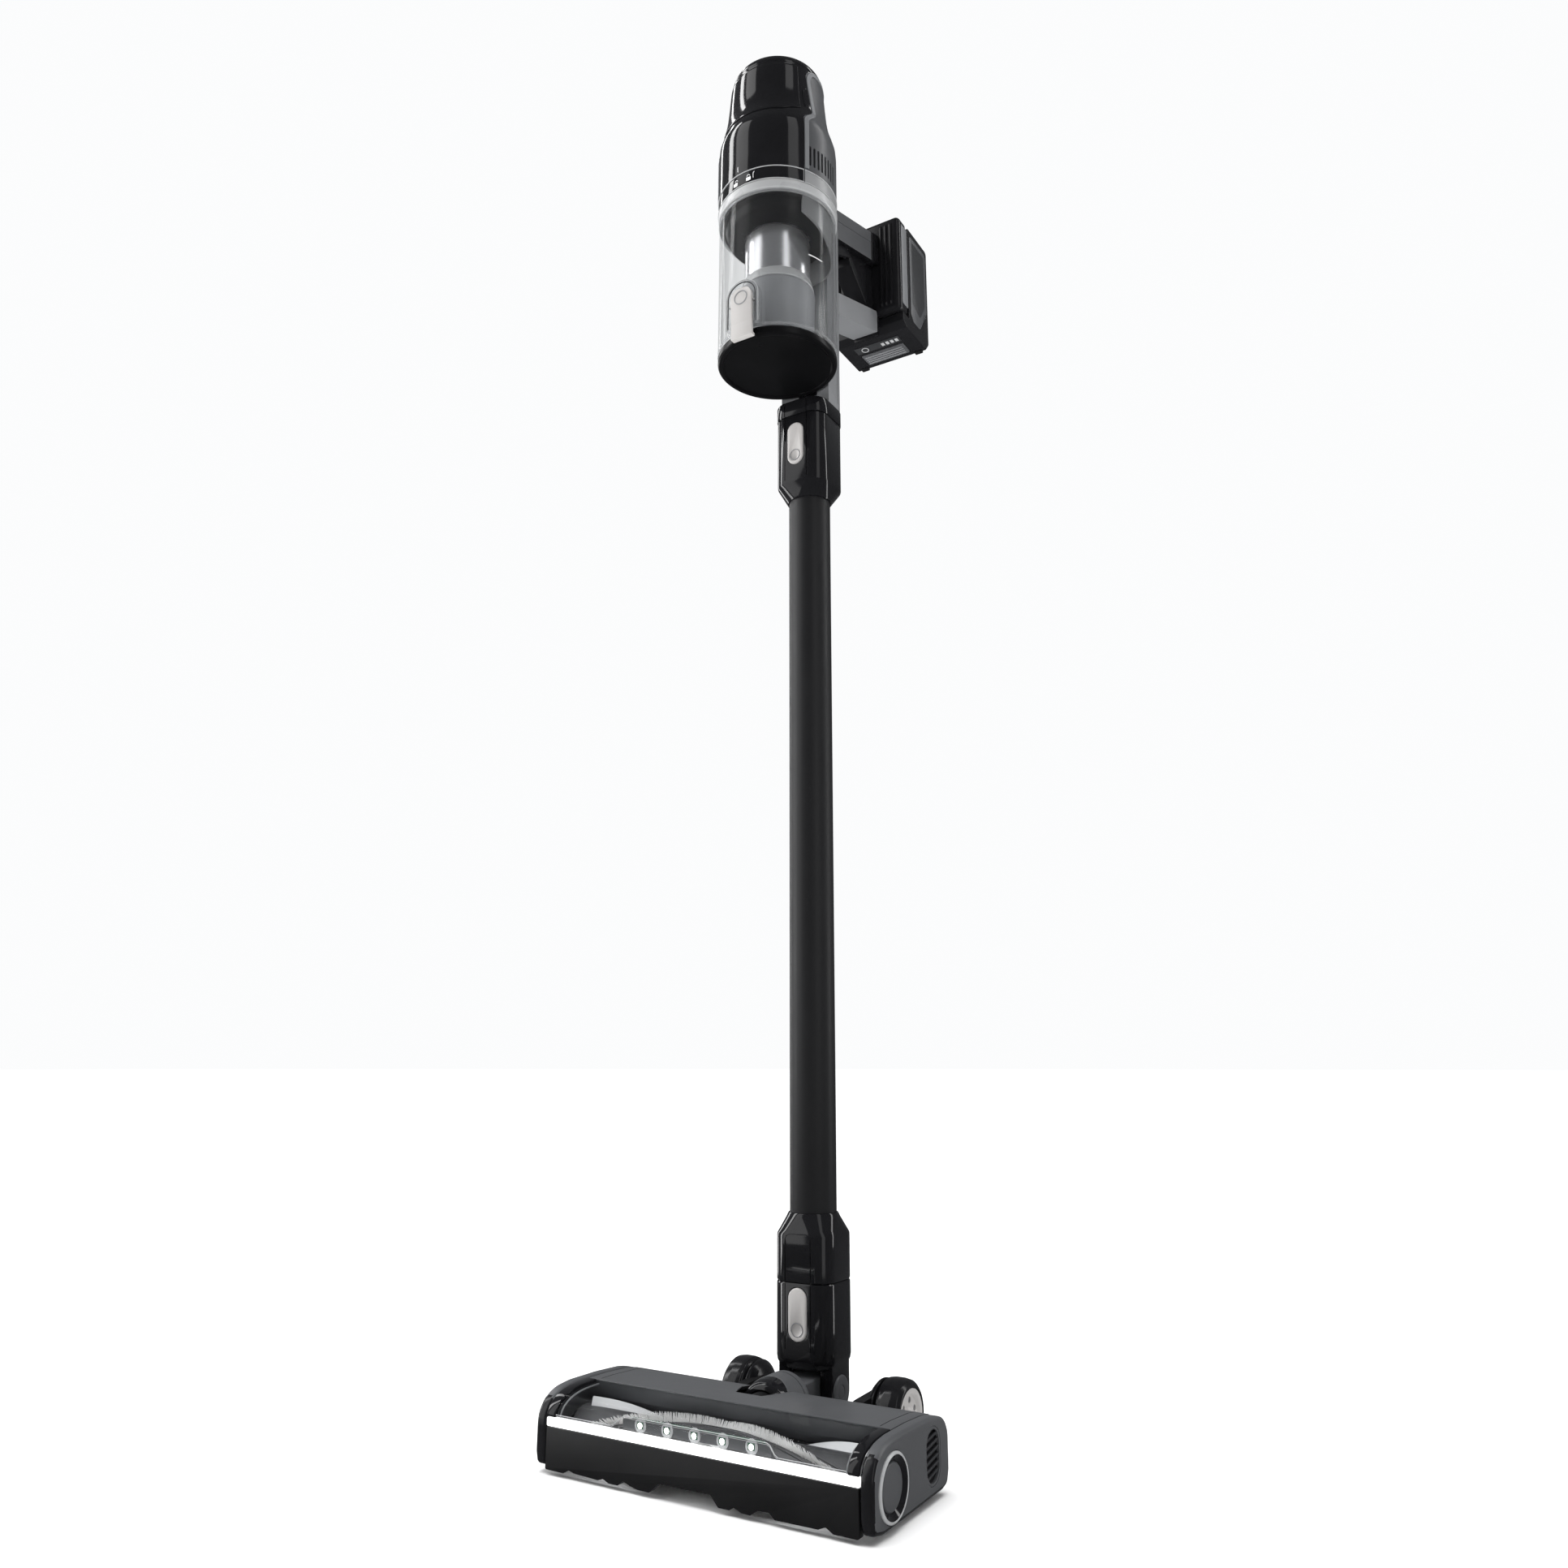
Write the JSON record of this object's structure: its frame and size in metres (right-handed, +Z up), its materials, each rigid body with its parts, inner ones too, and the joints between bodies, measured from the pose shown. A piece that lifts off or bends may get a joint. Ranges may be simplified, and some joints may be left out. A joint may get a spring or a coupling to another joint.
{
  "type": "cordless stick vacuum cleaner",
  "caption": "Upright cordless stick vacuum: powered foot with brush roll and light bar, straight wand, handheld head with clear dust bin, grip and slide-on battery.",
  "frame": {"origin": "middle of the object's footprint box, on the floor", "axes": "+Z up along the wand, -Y the way the foot's light bar faces, +X to the right seen from the front"},
  "size_m": [0.255, 0.3326, 1.116],
  "materials": {
    "gloss_black": "piano black gloss",
    "satin_grey": "satin graphite",
    "matte_black": "fine-grained matte black",
    "wand_black": "black anodised tube",
    "light_grey": "warm light grey, satin",
    "mid_grey": "mid grey moulding",
    "clear": "clear polycarbonate",
    "smoke": "smoke-tinted polycarbonate",
    "steel": "machined steel",
    "mesh_steel": "perforated stainless mesh",
    "motor": "cast motor casing",
    "strip": "white light guide",
    "rubber": "moulded rubber",
    "bristle": "nylon bristle and soft fins on a grey core",
    "felt": "pleated felt",
    "board": "circuit board green"
  },
  "bodies": {
    "foot": {"foot_chassis": "matte_black", "foot_top_cover": "satin_grey", "brush_window": "smoke", "lamp_lens": "clear", "lamp_board": "board", "light_strip": "strip", "front_lip": "matte_black", "end_cap_left": "satin_grey", "end_cap_right": "satin_grey", "side_vent_left": "matte_black", "side_vent_right": "matte_black", "brush_motor": "steel", "drive_belt": "rubber", "suction_duct": "matte_black"},
    "roll": {"roll_barrel": "matte_black"},
    "wand": {"neck_tube": "gloss_black", "neck_pin_left": "steel", "neck_pin_right": "steel", "wand_lower_collar": "gloss_black", "wand_tube": "wand_black", "wand_upper_collar": "gloss_black", "inlet_band": "gloss_black", "inlet_spine": "satin_grey", "bin_shell": "clear", "door_hinge_pin": "steel", "latch_housing": "gloss_black", "bin_ring": "satin_grey", "inlet_deflector": "mid_grey", "cyclone_shroud": "mesh_steel", "cyclone_cup": "mid_grey", "pre_filter": "felt", "suction_motor": "motor", "exhaust_filter": "felt", "head_front_shell": "gloss_black", "head_rear_shell": "satin_grey", "head_top_cap": "satin_grey", "grip_arm": "satin_grey", "control_panel": "gloss_black", "lower_arm": "satin_grey", "handle_web": "matte_black", "battery_dock": "matte_black"},
    "brush": {"brush_roll": "bristle"},
    "brush_drive": {"motor_pulley": "steel"},
    "release_cap": {"brush_release_cap": "satin_grey"},
    "roller_left": {"front_roller_left": "matte_black"},
    "roller_right": {"front_roller_right": "matte_black"},
    "wheel_left": {"wheel_tyre_left": "rubber", "wheel_hub_left": "light_grey"},
    "wheel_right": {"wheel_tyre_right": "rubber", "wheel_hub_right": "light_grey"},
    "foot_button": {"foot_release_button": "light_grey"},
    "wand_button": {"wand_release_button": "light_grey"},
    "door": {"bin_door": "gloss_black", "door_seal": "rubber"},
    "latch": {"bin_latch": "light_grey"},
    "fan": {"impeller": "mid_grey"},
    "trigger_lever": {"trigger": "matte_black"},
    "power_key": {"power_button": "light_grey"},
    "battery": {"battery_pack": "matte_black"},
    "battery_key": {"battery_release_button": "mid_grey"}
  },
  "joints": [
    {"name": "neck_roll", "type": "hinge", "parent": "foot", "child": "roll", "pos_m": [0, -0.0662, 0.035], "axis": [0, 1, 0], "range_deg": [-45, 45]},
    {"name": "neck_pitch", "type": "hinge", "parent": "roll", "child": "wand", "pos_m": [0, -0.0117, 0.035], "axis": [-1, 0, 0], "range_deg": [0, 75]},
    {"name": "brush_spin", "type": "hinge", "parent": "foot", "child": "brush", "pos_m": [0, -0.1397, 0.0245], "axis": [1, 0, 0], "continuous": true},
    {"name": "motor_spin", "type": "hinge", "parent": "foot", "child": "brush_drive", "pos_m": [-0.1092, -0.0967, 0.0245], "axis": [1, 0, 0], "continuous": true},
    {"name": "release_cap_turn", "type": "hinge", "parent": "foot", "child": "release_cap", "pos_m": [0.126, -0.1397, 0.0245], "axis": [1, 0, 0], "range_deg": [0, 90]},
    {"name": "roller_left_spin", "type": "hinge", "parent": "foot", "child": "roller_left", "pos_m": [-0.085, -0.1087, 0.005], "axis": [1, 0, 0], "continuous": true},
    {"name": "roller_right_spin", "type": "hinge", "parent": "foot", "child": "roller_right", "pos_m": [0.085, -0.1087, 0.005], "axis": [1, 0, 0], "continuous": true},
    {"name": "wheel_left_spin", "type": "hinge", "parent": "foot", "child": "wheel_left", "pos_m": [-0.0636, -0.0037, 0.024], "axis": [1, 0, 0], "continuous": true},
    {"name": "wheel_right_spin", "type": "hinge", "parent": "foot", "child": "wheel_right", "pos_m": [0.0636, -0.0037, 0.024], "axis": [1, 0, 0], "continuous": true},
    {"name": "foot_release", "type": "slide", "parent": "wand", "child": "foot_button", "axis": [0, 1, 0], "range_m": [0, 0.0022], "stiffness_N_per_m": 900},
    {"name": "wand_release", "type": "slide", "parent": "wand", "child": "wand_button", "axis": [0, 1, 0], "range_m": [0, 0.0022], "stiffness_N_per_m": 900},
    {"name": "door_hinge", "type": "hinge", "parent": "wand", "child": "door", "pos_m": [0, -0.0125, 0.8342], "axis": [1, 0, 0], "range_deg": [0, 28]},
    {"name": "latch_rock", "type": "hinge", "parent": "wand", "child": "latch", "pos_m": [0, -0.1186, 0.86], "axis": [-1, 0, 0], "range_deg": [0, 6.5], "stiffness_Nm_per_rad": 0.6},
    {"name": "fan_spin", "type": "hinge", "parent": "wand", "child": "fan", "pos_m": [0, -0.0647, 1.0095], "axis": [0, 0, 1], "continuous": true},
    {"name": "trigger_pull", "type": "hinge", "parent": "wand", "child": "trigger_lever", "pos_m": [0, 0.0438, 1.0132], "axis": [-1, 0, 0], "range_deg": [0, 8], "stiffness_Nm_per_rad": 1},
    {"name": "power_press", "type": "slide", "parent": "wand", "child": "power_key", "axis": [0, 0.3123, -0.95], "range_m": [0, 0.0012], "stiffness_N_per_m": 900},
    {"name": "battery_slide", "type": "slide", "parent": "wand", "child": "battery", "axis": [0, 0, -1], "range_m": [0, 0.06]},
    {"name": "battery_release", "type": "slide", "parent": "battery", "child": "battery_key", "axis": [0, 0, 1], "range_m": [0, 0.003], "stiffness_N_per_m": 900}
  ],
  "couplings": [
    {"joint": "motor_spin", "follows": "brush_spin", "ratio": 1.9545}
  ]
}
